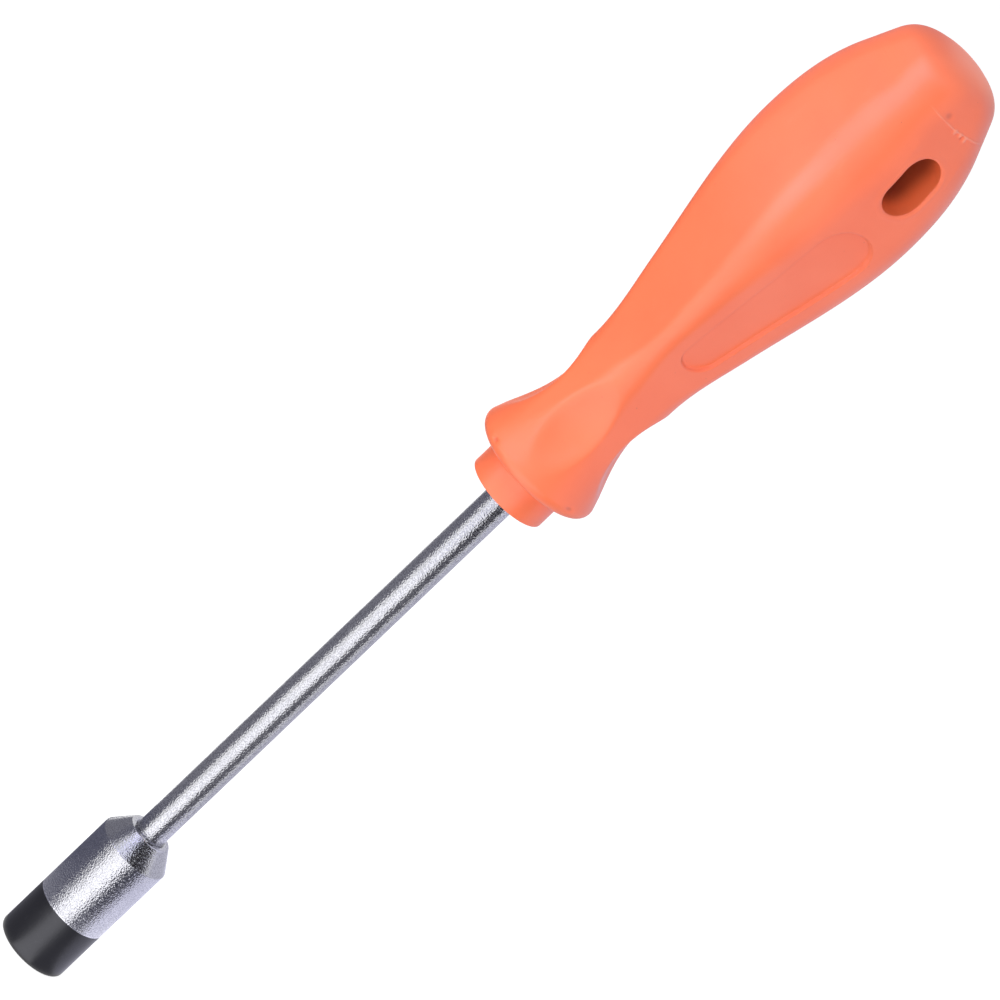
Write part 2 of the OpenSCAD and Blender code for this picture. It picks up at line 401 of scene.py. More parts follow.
# Grain, noises, mask and bumps, with their values in the same order as above
SOCKET_GRAIN, TURNED_RINGS = (4200, 0.6), (3000, 2)
NOSE_RUB, EDGE_WANDER = (900, 4, 0.65), (500, 2)
NOSE_RUB_BAND, NOSE_RUB_SHARE = (0.6, 0.85), 0.5
TURNED_BUMP, SOCKET_BUMP = (0.035, 0.7), (0.085, 1.0)
# Depth of the grain on the nose, and how plating and cone change it
NOSE_GRAIN, PLATING_DEEPENS, CONE_FLATTENS = 0.2, 0.8, 0.6
# Roughness of the nose, and how plating, cone, rubbing and clouds change it
NOSE_SATIN, PLATING_POLISHES, CONE_DULLS, NOSE_DULLS, SOCKET_DULLS = 0.36, 0.26, 0.04, 0.1, 0.08


def nosed_chrome():
    """The same plating on the socket, with turning marks on the cone and a blackened nose."""
    material, paint = new_finish("nosed_chrome")
    place = paint.place()
    grain, clouds, steel = plating(paint, place, *SOCKET_GRAIN)
    height = paint.node("SeparateXYZ", values={0: place}, out=2) / MM
    wave = paint.noise(place, *EDGE_WANDER) * EDGE_WAVE
    past_edge = height - wave - NOSE_LEN + EDGE_WAVE / 2
    plated = past_edge.ease(-NOSE_EDGE, NOSE_EDGE)
    # Mask of the painted highlight: a thin line just above the nose's edge
    edge_highlight = plated * (1 - past_edge.ease(EDGE_LINE / 2, EDGE_LINE))
    rub = paint.noise(place, *NOSE_RUB).ease(*NOSE_RUB_BAND)
    rings = paint.noise(paint.stretch(place, TURNED_STRETCH), *TURNED_RINGS)
    cone_z = socket_len - cone_len
    on_cone = height.ease(cone_z, cone_z + CONE_EDGE)
    steel = paint.blend(edge_highlight, steel, EDGE_HIGHLIGHT)
    black = paint.blend(rub * NOSE_RUB_SHARE, NOSE_BLACK, NOSE_RUBBED)
    relief = paint.bump(rings * on_cone, *TURNED_BUMP)
    grain_depth = NOSE_GRAIN + plated * PLATING_DEEPENS - on_cone * CONE_FLATTENS
    relief = paint.bump(grain * grain_depth, *SOCKET_BUMP, relief)
    roughness = NOSE_SATIN + rub * NOSE_DULLS - plated * PLATING_POLISHES
    roughness = roughness + clouds * SOCKET_DULLS + on_cone * CONE_DULLS
    paint.surface({
        "Base Color": paint.blend(plated, black, steel),
        "Metallic": 1.0,
        "Roughness": roughness,
        "Normal": relief,
    })
    return material


socket_steel = nosed_chrome()
print("finish:", socket_steel.name)

# %% [markdown]
# ## The bar
# A round bar is a circle carried along the axis. Its front end sits in the socket, and two
# wings are pinched out of its rear end, where the plastic grips it. Wings make the radius a
# function of the angle, so the same rings can draw them without a boolean.

# %% Profiles with rounded corners
bar_r, bar_bevel, BEVEL_ROUND = 3.0, 0.5, 0.1
WING_HALF_W, WING_HALF_T, WING_LEN, WING_BACK = 4.7, 1.1, 14.0, 8.0
TINY = 1e-6


def rounded(corners, steps=5):
    """A line of [radius, height, rounding] corners, each corner replaced by a quadratic arc."""
    corners = np.array(corners, float)
    spot = corners[1:-1, :2]
    before = corners[:-2, :2] - spot
    after = corners[2:, :2] - spot
    reach = corners[1:-1, 2:]
    start = spot + before / np.linalg.norm(before, axis=1, keepdims=True) * reach
    end = spot + after / np.linalg.norm(after, axis=1, keepdims=True) * reach
    u = np.linspace(0, 1, steps)[:, None, None]
    arcs = start * (1 - u) ** 2 + 2 * spot * u * (1 - u) + end * u ** 2
    line = arcs.transpose(1, 0, 2).reshape(-1, 2)
    return np.concatenate([corners[:1, :2], line, corners[-1:, :2]])


def turned(radius, height, angle):
    """Rings about the axis: radius times cosine and sine of the angle, and the height."""
    height = np.broadcast_to(height, radius.shape)
    return np.stack([radius * np.cos(angle), radius * np.sin(angle), height], axis=-1)


def wing_reach(height, angle):
    """Radius of the wings' outline: half width over cosine or half thickness over sine, whichever
    is less. Their ends slope at 45 degrees."""
    rise = WING_HALF_W - bar_r
    back = bar_end - WING_BACK
    stops = [back - WING_LEN, back - WING_LEN + rise, back - rise, back]
    half = np.interp(height, stops, [bar_r, WING_HALF_W, WING_HALF_W, bar_r], left=0, right=0)
    flat_side = np.maximum(np.abs(np.cos(angle)), TINY)
    thin_side = np.maximum(np.abs(np.sin(angle)), TINY)
    return np.minimum(half / flat_side, WING_HALF_T / thin_side)


print("wings reach", wing_reach(bar_end - WING_BACK - WING_LEN / 2, 0.0), "mm from the axis")

# %% The bar's skin
BAR_COLUMNS, PLAIN_ROWS, WING_ROWS = 160, 60, 72
PLAIN_FROM, ROW_GAP, WING_MARGIN = 4.0, 1.0, 0.1


def full_turn(columns):
    """Evenly spaced angles of a ring's columns."""
    return np.linspace(0, 2 * np.pi, columns, endpoint=False)[None, :]


def bar_rings():
    """Rings of a bevelled round bar: its radius, or the wings' reach where that is larger."""
    angle = full_turn(BAR_COLUMNS)
    plain = bar_start + PLAIN_FROM
    front = rounded([[0, bar_start, 0], [bar_r - bar_bevel, bar_start, BEVEL_ROUND],
                     [bar_r, bar_start + bar_bevel, BEVEL_ROUND], [bar_r, plain, 0]])
    back = bar_end - WING_BACK
    body_z = np.concatenate([
        np.linspace(plain + ROW_GAP, back - WING_LEN - 2 * WING_MARGIN, PLAIN_ROWS),
        np.linspace(back - WING_LEN - WING_MARGIN, back + WING_MARGIN, WING_ROWS),
    ])
    body = np.stack([np.full_like(body_z, bar_r), body_z], axis=1)
    rear = rounded([[bar_r, back + ROW_GAP, 0], [bar_r, bar_end - bar_bevel, BEVEL_ROUND],
                    [bar_r - bar_bevel, bar_end, BEVEL_ROUND], [0, bar_end, 0]])
    line = np.concatenate([front[1:], body, rear[:-1]])
    height = line[:, 1:]
    radius = np.maximum(line[:, :1], np.where(line[:, :1] < bar_r, 0, wing_reach(height, angle)))
    return turned(radius, height, angle)


points, quads, ends = closed_skin(bar_rings())
quads = quads.reshape(-1, 4)
make_piece("bar", points, quads, ends, bar_steel, "shank")

# %% [markdown]
# ## The socket
# Turned on a lathe and broached, the socket is a stack of rings too: from the floor of the stud
# bore along the hexagon to the mouth, over the rounded rim, up the outside, in over the cone
# and into the hole for the bar. Only the hexagon's rows depend on the angle.

# %% The socket's skin
SOCKET_COLUMNS, ARC_STEPS = 192, 7
hex_af, hex_depth, hex_lead = 10.15, 11.0, 0.8
stud_r, stud_end, STUD_ROUND = 5.0, 17.0, 0.3
mouth_round, rear_r, rear_sink = 0.7, 4.35, 0.35
EDGE = 0.12
HEX_ROWS = [8, 5, 2, 1.2]
LEAD_ROWS, LEAD_STOP = 10, 0.05


def socket_rings():
    """Rings from the floor of the stud bore, out over the mouth and into the bar's hole. The
    hexagon is half its width over the cosine of the angle from a flat's middle, or the cone of
    the lead-in where that is wider."""
    angle = full_turn(SOCKET_COLUMNS)
    hexagon = hex_af / 2 / np.cos(angle % (np.pi / 3) - np.pi / 6)
    corner_r = hex_af / 2 / np.cos(np.pi / 6)
    bore = rounded([[0, stud_end, 0], [stud_r, stud_end, STUD_ROUND], [stud_r, hex_depth, 0]])[1:]
    lead_rows = np.linspace(hex_lead, LEAD_STOP, LEAD_ROWS)
    depth = np.array([hex_depth, hex_depth - EDGE, *HEX_ROWS, *lead_rows])[:, None]
    lead = hex_af / 2 + (corner_r - hex_af / 2) * np.clip(1 - depth / hex_lead, 0, 1)
    outside = rounded([
        [corner_r, 0, 0], [corner_r + EDGE, 0, EDGE / 2],
        [socket_r, 0, mouth_round], [socket_r, socket_len - cone_len, EDGE],
        [rear_r, socket_len, EDGE], [bar_r + rear_sink, socket_len, EDGE / 2],
        [bar_r, socket_len - rear_sink, EDGE / 2], [bar_r, bar_start, EDGE], [0, bar_start, 0],
    ], ARC_STEPS)[:-1]
    flat_ring = np.ones_like(angle)
    return np.concatenate([
        turned(bore[:, :1] * flat_ring, bore[:, 1:], angle),
        turned(np.maximum(hexagon, lead), depth, angle),
        turned(outside[:, :1] * flat_ring, outside[:, 1:], angle),
    ])


points, quads, ends = closed_skin(socket_rings())
quads = quads.reshape(-1, 4)
make_piece("nut_socket", points, quads, ends, socket_steel, "socket")

# %% [markdown]
# ## The grip's outline
# Seen from the side, the grip flares down from its guard to a neck, swells along a straight
# flank to the widest place and falls to the shoulder. Two such lines, one along the corners
# and one along the flats, are smooth cubics between a few stations of place, half width and
# slope. Between the two lines each section is a rounded square.

# %% Stations along the corners and the flats
collar_r, collar_round = 7.95, 0.2
guard_z, guard_r, guard_round, guard_fillet = 6.4, 12.5, 1.9, 1.5
flare = 0.36
neck_z, neck_shift = 31.5, 4.5
flank_rise, flank_step, flank_gain = 0.19, 17.0, 2.6
CORNER = {"neck": 19.1, "widest": 34.6, "shoulder": 27.4, "cap": 22.7}
FLAT = {"neck": 16.3, "widest": 29.1, "shoulder": 24.0, "cap": 20.8}
shoulder_fall = 0.44
widest_back, shoulder_back, cap_h = 30.8, 10.3, 4.8
cap_edge, cap_crown = 3.0, 7.5

widest_z, shoulder_z, cap_z = (grip_len - back for back in (widest_back, shoulder_back, cap_h))
flare_angle = np.arctan(flare)
rim_z, rim_r = guard_z + guard_round, guard_r - guard_round
flare_z = rim_z + guard_round * np.sin(flare_angle)
flare_r = rim_r + guard_round * np.cos(flare_angle)


def stations(width, neck_at):
    """Rows of [place, half width, slope] from the flare to the cap."""
    share = width["widest"] / CORNER["widest"]
    half = {key: value / 2 for key, value in width.items()}
    return np.array([
        [flare_z, flare_r, -flare],
        [neck_at, half["neck"], 0],
        [neck_at + flank_step, half["neck"] + flank_gain * share, flank_rise * share],
        [widest_z, half["widest"], 0],
        [shoulder_z, half["shoulder"], -shoulder_fall],
        [cap_z, half["cap"], -shoulder_fall],
    ])


def along(line, z):
    """Half width at z: the cubic that meets both neighbouring stations' widths and slopes."""
    i = np.clip(np.searchsorted(line[:, 0], z, side="right") - 1, 0, len(line) - 2)
    (z0, r0, s0), (z1, r1, s1) = line[i].T, line[i + 1].T
    h = z1 - z0
    u = (z - z0) / h
    start = r0 * (1 + 2 * u) * (1 - u) ** 2 + s0 * h * u * (1 - u) ** 2
    return start + r1 * u ** 2 * (3 - 2 * u) + s1 * h * u ** 2 * (u - 1)


corner_line = stations(CORNER, neck_z)
flat_line = stations(FLAT, neck_z + neck_shift)
print("widest at", widest_z, "mm:", along(corner_line, np.array([widest_z])))

# %% [markdown]
# ## Rows of the grip
# Rows lie close where the shape turns quickly: round the rim, at the ends of the recessed
# panel, beside the hang hole and on the flash line of the mould. Each row holds its place and
# its half widths at the corners and at the flats.

# %% Rows of the collar and the guard
EDGE_STEPS, COLLAR_ROWS, FILLET_STEPS, FACE_STEPS, RIM_STEPS = 7, 6, 9, 5, 17
COLLAR_FROM, COLLAR_GAP = 1.2, 0.4


def arc_rows(z, r, z_sign, r_sign, size, start, end, steps):
    """Rows round an edge: an arc of that size about z and r, between two angles."""
    b = np.linspace(start, end, steps)
    return np.stack([z + z_sign * size * np.sin(b), r + r_sign * size * np.cos(b)], axis=1)


def front_rows():
    """Collar edge, collar, fillet, guard face and rim, as rows of [place, radius]."""
    quarter = np.pi / 2
    fillet_z, fillet_r = guard_z - guard_fillet, collar_r + guard_fillet
    edge_r = collar_r - collar_round
    edge = arc_rows(collar_round, edge_r, -1, 1, collar_round, quarter, 0, EDGE_STEPS)
    wall_z = np.linspace(COLLAR_FROM, fillet_z - COLLAR_GAP, COLLAR_ROWS)
    wall = np.stack([wall_z, np.full_like(wall_z, collar_r)], axis=1)
    fillet = arc_rows(fillet_z, fillet_r, 1, -1, guard_fillet, 0, quarter, FILLET_STEPS)
    face_r = np.linspace(fillet_r, rim_r, FACE_STEPS)[1:-1]
    face = np.stack([np.full_like(face_r, guard_z), face_r], axis=1)
    rim = arc_rows(rim_z, rim_r, 1, 1, guard_round, -quarter, flare_angle, RIM_STEPS)
    return np.concatenate([edge, wall, fillet, face, rim])


front = front_rows()
print("rows of the collar and the guard:", len(front))

# %% All rows, with their two half widths
recess_front, recess_back = 41.0, 81.0
flash_z = 104.8
DENT_FROM, PANEL_MARGIN, FLASH_MARGIN = 16.0, 0.8, 1.2
FRONT_CURVE, BACK_CURVE = 4.4, 4.8
BLOCK_AHEAD, BLOCK_BEHIND = 8.5, 8.0
ROW_STOPS = [
    flare_z, DENT_FROM, recess_front - PANEL_MARGIN, recess_front + FRONT_CURVE,
    recess_back - BACK_CURVE, recess_back + PANEL_MARGIN, hole_z - BLOCK_AHEAD,
    flash_z - FLASH_MARGIN, cap_z,
]
ROW_COUNTS = [20, 52, 27, 32, 29, 5, 34, 34]
CAP_ROWS = 60


def grip_rows():
    """Rows of [place, corner, flat] from the flare to the cap, even between two stops."""
    stretches = zip(ROW_STOPS, ROW_STOPS[1:], ROW_COUNTS)
    z = np.concatenate([np.linspace(*stretch, endpoint=False) for stretch in stretches])[1:]
    return np.stack([z, along(corner_line, z), along(flat_line, z)], axis=1)


def cap_rows():
    """One cubic arc that runs on from the shoulder and turns in over the crown. Its section goes
    from the rounded square to a circle at the top."""
    half = CORNER["cap"] / 2
    u = np.linspace(0, 1, CAP_ROWS, endpoint=False)[:, None]
    stops = np.array([[cap_z, half], [cap_z + cap_edge, half - shoulder_fall * cap_edge],
                      [grip_len, cap_crown], [grip_len, 0]])
    shares = [(1 - u) ** 3, 3 * u * (1 - u) ** 2, 3 * u ** 2 * (1 - u), u ** 3]
    z, corner = (np.concatenate(shares, axis=1) @ stops).T
    squareness = FLAT["cap"] / CORNER["cap"] * (1 - u[:, 0]) + u[:, 0]
    return np.stack([z, corner, corner * squareness], axis=1)


rows = np.concatenate([front[:, [0, 1, 1]], grip_rows(), cap_rows()])
print("rows of the grip:", len(rows))

# %% [markdown]
# ## Columns of the grip
# The recessed panel and the hang hole sit on the face at -Y. There the columns follow the
# panel's long edges, so that the step down to its floor lies on grid lines and stays crisp.
# The face opposite repeats them, because the hang hole joins the two faces.

# %% Angles of the columns
RECESS_FRONT_R, RECESS_BACK_HALF, RECESS_CORNER = 3.8, 6.0, 5.8
STEP_BAND = 0.6
PANEL_COLUMNS, STEP_COLUMNS, OUTER_COLUMNS, SIDE_COLUMNS = 20, 9, 13, 30
EDGE_COLUMN = PANEL_COLUMNS + STEP_COLUMNS // 2


def panel_half(z):
    """Half width of the panel's columns: straight edges that widen to the back."""
    stops = [recess_front + RECESS_FRONT_R, recess_back - RECESS_CORNER]
    return np.interp(z, stops, [RECESS_FRONT_R, RECESS_BACK_HALF])


def column_angles(z, flat):
    """Angle of each column in each row: face, side, face and side, turning from -Y to +X. Near a
    face's middle it is the arctangent of the column's offset over the half width of the flats."""
    reach = np.maximum(flat, FLAT["neck"] / 2)[:, None]
    half = panel_half(z)[:, None]
    inside = np.linspace(0, 1, PANEL_COLUMNS, endpoint=False) * (half - STEP_BAND)
    step = half + np.linspace(-STEP_BAND, STEP_BAND, STEP_COLUMNS)
    edge = np.arctan((half + STEP_BAND) / reach)
    outside = edge + (np.pi / 4 - edge) * np.linspace(0, 1, OUTER_COLUMNS + 1)[1:]
    on_face = np.arctan(np.concatenate([inside, step], axis=1) / reach)
    one_way = np.concatenate([on_face, outside], axis=1)
    face = np.concatenate([-one_way[:, :0:-1], one_way], axis=1)
    side = np.linspace(-np.pi / 4, np.pi / 4, SIDE_COLUMNS + 2)[1:-1] + np.zeros((len(z), 1))
    turns = [face - np.pi / 2, side, face + np.pi / 2, side + np.pi]
    return np.concatenate(turns, axis=1)


angle = column_angles(rows[:, 0], rows[:, 2])
face_columns = 2 * (PANEL_COLUMNS + STEP_COLUMNS + OUTER_COLUMNS) - 1
print("columns of the grip:", angle.shape[1])

# %% [markdown]
# ## The grip's skin
# The radius is the rounded square, softened into the four thumb dents, with the thin flash of
# the mould on the shoulder and a few burrs and pits. The panel is then pushed in along +Y by a
# smooth step of the distance to its outline.

# %% Section of the grip
DENT_R, DENT_Z, DENT_FLOOR, DENT_SOFT = 17.6, 22.4, 7.9, 0.8


def rounded_square(corner, flat, q):
    """Radius at the angle q from a corner: out to the corner's circle, or the half width of the
    flats over the cosine of the angle from a flat's middle."""
    root = np.sqrt(2)
    arc = (flat * root - corner) / (root - 1)
    centre = corner - arc
    meets = np.pi / 4 - np.arctan(centre / root / flat)
    on_arc = centre * np.cos(q) + np.sqrt(np.maximum(arc ** 2 - (centre * np.sin(q)) ** 2, 0))
    return np.where(q >= meets, flat / np.cos(np.pi / 4 - q), on_arc)


def dent(q, z):
    """Radius where a ray first meets a ball pressed into the corner, far out where it misses."""
    centre = DENT_FLOOR + DENT_R
    inside = DENT_R ** 2 - (z - DENT_Z) ** 2 - (centre * np.sin(q)) ** 2
    return np.where(inside > 0, centre * np.cos(q) - np.sqrt(np.maximum(inside, 0)), 2 * guard_r)


def soft_min(a, b, soft):
    """The lower of two surfaces, less a square that rounds the crease where they come close."""
    h = np.maximum(soft - np.abs(a - b), 0) / soft
    return np.minimum(a, b) - h * h * soft / 4


widest = rounded_square(CORNER["widest"] / 2, FLAT["widest"] / 2, np.zeros(1))
print("radius over the widest corner:", widest)

# %% Scars of the mould and of use
FLASH_H, FLASH_W, FLASH_TRACE = 0.16, 0.16, 0.15
# Angles round the butt, and there the flash's rise above its place and its share of the height
FLASH_ANGLES = [-126, -123, -108, -92, -59, -54]
FLASH_RISE = [0.95, 0.9, 0.5, 0, 0, 0]
FLASH_SWELL = [0, 0.4, 1, 1, 0.8, 0]
# Angle, place, half width, half length and height of each burr, or pit where it is negative
MARKS = [
    (-90, 104.6, 0.3, 0.5, 0.26), (-82.5, 104.5, 0.24, 0.4, 0.3), (-76, 104.3, 0.26, 0.55, 0.3),
    (-79.2, 104.2, 0.22, 0.35, -0.3), (-106, 106.2, 0.8, 0.7, -0.24),
    (-175.6, 8.4, 0.6, 0.45, -0.4), (-178.5, 8.1, 0.4, 0.4, 0.1), (-85.5, 8.8, 0.9, 0.4, -0.26),
]


def wrapped(angle):
    """The same angle between minus and plus half a turn."""
    return (angle + np.pi) % (2 * np.pi) - np.pi


def flash(angle, z):
    """A low ridge round the butt: its height times e to minus the squared distance from a line
    that wanders on one side."""
    degrees = np.degrees(wrapped(angle))
    rise = np.interp(degrees, FLASH_ANGLES, FLASH_RISE)
    swell = FLASH_TRACE + np.interp(degrees, FLASH_ANGLES, FLASH_SWELL, left=0, right=0)
    return FLASH_H * swell * np.exp(-((z - flash_z - rise) / FLASH_W) ** 2)


def marks(angle, z, radius):
    """Burrs and pits, summed: a height times e to minus the squared distance in half widths."""
    total = np.zeros_like(radius)
    for place, at, wide, long, height in MARKS:
        turn = wrapped(angle - np.radians(place))
        total += height * np.exp(-(turn * radius / wide) ** 2 - ((z - at) / long) ** 2)
    return total


def skin_radius(angle, z, corner, flat):
    """Rounded square with thumb dents plus its scars, and the scars alone."""
    q = np.abs(angle % (np.pi / 2) - np.pi / 4)
    radius = soft_min(rounded_square(corner, flat, q), dent(q, z), DENT_SOFT)
    scar = flash(angle, z) + marks(angle, z, radius)
    return radius + scar, scar


z = rows[:, :1]
radius, scar = skin_radius(angle, z, rows[:, 1:2], rows[:, 2:])
print("radius from", radius.min().round(2), "to", radius.max().round(2), "mm")

# %% The recessed panel
RECESS_DEPTH = 0.7
STEP_OUT, STEP_IN = 0.1, 0.3


def panel_distance(x, z):
    """Distance to the panel's outline, negative inside: a tapered capsule from the front circle
    to a back corner circle, with a straight end between the two back corners."""
    x = np.abs(x)
    back_x = RECESS_BACK_HALF - RECESS_CORNER
    start = np.array([0, recess_front + RECESS_FRONT_R])
    run = np.array([back_x, recess_back - RECESS_CORNER]) - start
    length = np.hypot(*run)
    ahead, aside = run / length, np.array([run[1], -run[0]]) / length
    p = np.stack([x - start[0], z - start[1]], axis=-1)
    px, pz = np.abs(p @ aside), p @ ahead
    lean = (RECESS_FRONT_R - RECESS_CORNER) / length
    rest = np.sqrt(1 - lean ** 2)
    k = -lean * px + rest * pz
    side = rest * px + lean * pz - RECESS_FRONT_R
    front_arc = np.hypot(px, pz) - RECESS_FRONT_R
    back_arc = np.hypot(px, pz - length) - RECESS_CORNER
    capsule = np.where(k < 0, front_arc, np.where(k > rest * length, back_arc, side))
    behind = (x < back_x) & (z > recess_back - RECESS_CORNER)
    return np.where(behind, z - recess_back, capsule)


def smooth_step(value, low, high):
    """0 below low and 1 above high, with the cubic that is level at both ends between them."""
    u = np.clip((value - low) / (high - low), 0, 1)
    return u * u * (3 - 2 * u)


def panel_depth(x, z):
    """Smooth step from the face down to the panel's floor."""
    return RECESS_DEPTH * smooth_step(-panel_distance(x, z), -STEP_OUT, STEP_IN)


skin = turned(radius, z, angle)
skin[:, :face_columns, 1] += panel_depth(skin[:, :face_columns, 0], skin[:, :face_columns, 2])
print("panel's depth at its middle:", panel_depth(0.0, (recess_front + recess_back) / 2))

# %% [markdown]
# ## The bore for the bar
# The plastic is moulded round the bar, so the skin turns in at the collar's face and follows
# the bar and its wings to the end of the bore. It is the same grid, carried on inwards.

# %% The bore's rows
bore_depth = bar_end - collar_face
BORE_LEAD, FLOOR_STEP = 0.25, 0.2
BORE_WING_ROWS, BORE_PLAIN_ROWS = 40, 12


def bore_rings(angle):
    """Rings from the floor of the bore to the collar's face: the bar's radius, or the wings' reach
    where that is larger."""
    back = bore_depth - WING_BACK
    z = np.concatenate([
        [bore_depth, bore_depth, bore_depth - FLOOR_STEP],
        np.linspace(back + WING_MARGIN, back - WING_LEN - WING_MARGIN, BORE_WING_ROWS),
        np.linspace(back - WING_LEN - ROW_GAP, BORE_LEAD, BORE_PLAIN_ROWS), [0, 0],
    ])[:, None]
    plain = np.full_like(z, bar_r)
    plain[0], plain[-2], plain[-1] = bar_r / 2, bar_r + BORE_LEAD, (bar_r + collar_r) / 2
    wings = wing_reach(z + collar_face, angle)
    return turned(np.maximum(plain, np.where(plain < bar_r, 0, wings)), z, angle)


grip = np.concatenate([bore_rings(angle[:1]), skin])
first_skin_row = len(grip) - len(skin)
grip_points, grip_quads, grip_ends = closed_skin(grip)
print("grip grid:", grip.shape)

# %% [markdown]
# ## The hang hole
# A slot runs through the grip from face to face. A block of quads is taken out of both faces,
# and one tube of rings joins the two gaps: from the block's rim inwards to the round-ended
# outline, over a rounded lip, through the grip and out again.

# %% The tube through the grip
HOLE_HALF_W, HOLE_CORE, LIP = 3.9, 2.1, 0.35
BEAD_H, BEAD_W = 0.12, 0.35
APRON_STEPS, LIP_STEPS = 7, 9


def block_loop(index, row_a, row_b, middle, sign):
    """Indices round a block of rows, counted the same way on both faces."""
    columns = middle + sign * np.arange(-EDGE_COLUMN, EDGE_COLUMN + 1)
    loop_rows = np.arange(row_a, row_b + 1)
    return np.concatenate([
        index[row_a, columns[:-1]], index[loop_rows[:-1], columns[-1]],
        index[row_b, columns[:0:-1]], index[loop_rows[:0:-1], columns[0]],
    ])


def tube_half(loop_xz):
    """Rings from one face's block to the foot of its lip: their x and z, and depths below the
    face. The apron runs straight in towards the hole's spine, over a low bead, and the lip is a
    quarter circle."""
    core = np.clip(loop_xz[:, 1] - hole_z, -HOLE_CORE, HOLE_CORE) + hole_z
    spine = np.stack([np.zeros_like(core), core], axis=1)
    away = loop_xz - spine
    away /= np.linalg.norm(away, axis=1, keepdims=True)
    share = np.linspace(0, 1, APRON_STEPS)[1:, None, None]
    apron = loop_xz * (1 - share) + (spine + (HOLE_HALF_W + LIP) * away) * share
    out = np.linalg.norm(apron - spine, axis=-1) - HOLE_HALF_W - LIP
    rise = -BEAD_H * np.exp(-((out - BEAD_W) / BEAD_W) ** 2)
    turn = np.linspace(0, np.pi / 2, LIP_STEPS)[1:, None, None]
    lip = spine + (HOLE_HALF_W + LIP * (1 - np.sin(turn))) * away
    sink = np.broadcast_to(LIP * (1 - np.cos(turn[..., 0])), lip.shape[:2])
    return np.concatenate([apron, lip]), np.concatenate([rise, sink])


block_ends = (hole_z - BLOCK_AHEAD, hole_z + BLOCK_BEHIND)
row_a, row_b = (first_skin_row + int(np.argmin(np.abs(rows[:, 0] - end))) for end in block_ends)
rows_in, columns_in = grip.shape[:2]
index = np.arange(rows_in * columns_in).reshape(rows_in, columns_in)
near_middle = face_columns // 2
far_middle = face_columns + SIDE_COLUMNS + face_columns // 2
near_loop = block_loop(index, row_a, row_b, near_middle, 1)
far_loop = block_loop(index, row_a, row_b, far_middle, -1)
loop_xz = grip_points[near_loop][:, [0, 2]]
print("hole block:", row_a, row_b, "loop of", len(near_loop))

# %% Joining the tube to the skin
WALL_STEPS = 14
flat_xz, below = tube_half(loop_xz)
face_y = along(flat_line, flat_xz[..., 1].ravel()).reshape(below.shape) - below
wall_y = -face_y[-1] * np.linspace(1, -1, WALL_STEPS)[1:-1, None]
wall_x, wall_z = (np.broadcast_to(line, wall_y.shape) for line in flat_xz[-1].T)
wall = np.stack([wall_x, wall_y, wall_z], axis=-1)
near_half = np.stack([flat_xz[..., 0], -face_y, flat_xz[..., 1]], axis=-1)
far_half = near_half[::-1] * np.array([1, -1, 1])
tube = np.concatenate([near_half, wall, far_half])

offset = len(grip_points)
tube_index = np.arange(tube.shape[0] * tube.shape[1]).reshape(tube.shape[:2]) + offset
tube_index = np.concatenate([near_loop[None], tube_index, far_loop[None]])
tube_quads = ring_faces(tube_index)

keep = np.ones(grip_quads.shape[:2], bool)
for middle in (near_middle, far_middle):
    keep[row_a:row_b, middle - EDGE_COLUMN:middle + EDGE_COLUMN] = False
grip_points = np.concatenate([grip_points, tube.reshape(-1, 3)]) + np.array([0, 0, collar_face])
quads = np.concatenate([grip_quads[keep], tube_quads.reshape(-1, 4)])
grip_piece = make_piece("grip", grip_points, quads, grip_ends, plastic, "handle")

# %% Scars for the finish to read
scars = np.zeros(len(grip_points), np.float32)
first_point = first_skin_row * columns_in
scars[first_point:first_point + scar.size] = scar.ravel()
grip_piece.data.attributes.new("scar", "FLOAT", "POINT").data.foreach_set("value", scars)
print("scars from", scars.min().round(2), "to", scars.max().round(2), "mm")

# %% [markdown]
# ## Lens and ground
# A long lens looks a little down on the standing tool, and its roll lays the tool across the
# picture. The floor and the world are white to the lens, to mirrors and through glass, and
# dimmer to everything else, so the picture's ground stays white without adding light to the
# tool. The floor also scatters light, so it keeps the tool's shadow.

# %% Where the lens stands
TARGET_Z, LENS_DISTANCE, SIGHT = 123.1, 1229.0, 50000.0
LENS_MM, SENSOR_MM = 254.1, 36
LENS_TURN, LENS_TILT, ROLL = np.radians([225, 19.02, 46.343])

up_axis = np.array([0, 0, 1.0])
towards = np.array([np.cos(LENS_TURN), np.sin(LENS_TURN), 0])
lens_side = np.cross(up_axis, towards)
lens_dir = np.sin(LENS_TILT) * up_axis + np.cos(LENS_TILT) * towards
tool_up = np.cos(LENS_TILT) * up_axis - np.sin(LENS_TILT) * towards


def stand(made, right, up, back, spot):
    """Turns an object's axes along three directions and moves it to a spot, in millimetres."""
    columns = np.stack([right, up, back, spot * MM], axis=1)
    made.matrix_world = Matrix(columns.tolist() + [[0, 0, 0, 1]])


def place_lens():
    """A long lens on the tool's middle, rolled so that the tool lies across the picture."""
    data = bpy.data.cameras.new("lens")
    data.lens = LENS_MM
    data.sensor_width = SENSOR_MM
    data.clip_end = SIGHT * MM
    camera = add_object("lens", data)
    right = np.sin(ROLL) * tool_up + np.cos(ROLL) * lens_side
    up = np.cos(ROLL) * tool_up - np.sin(ROLL) * lens_side
    stand(camera, right, up, lens_dir, TARGET_Z * up_axis + LENS_DISTANCE * lens_dir)
    bpy.context.scene.camera = camera


place_lens()
print("lens towards", np.round(lens_dir, 3))

# %% White ground
SEEN_RAYS = ("Camera", "Glossy", "Transmission")
FLOOR_GREY = (0.5, 0.5, 0.51, 1)
FLOOR_GLOW = 0.8
FLOOR_HALF = 6000.0
AMBIENT = 0.45
AMBIENT_TINT = (0.97, 0.97, 1.0, 1)


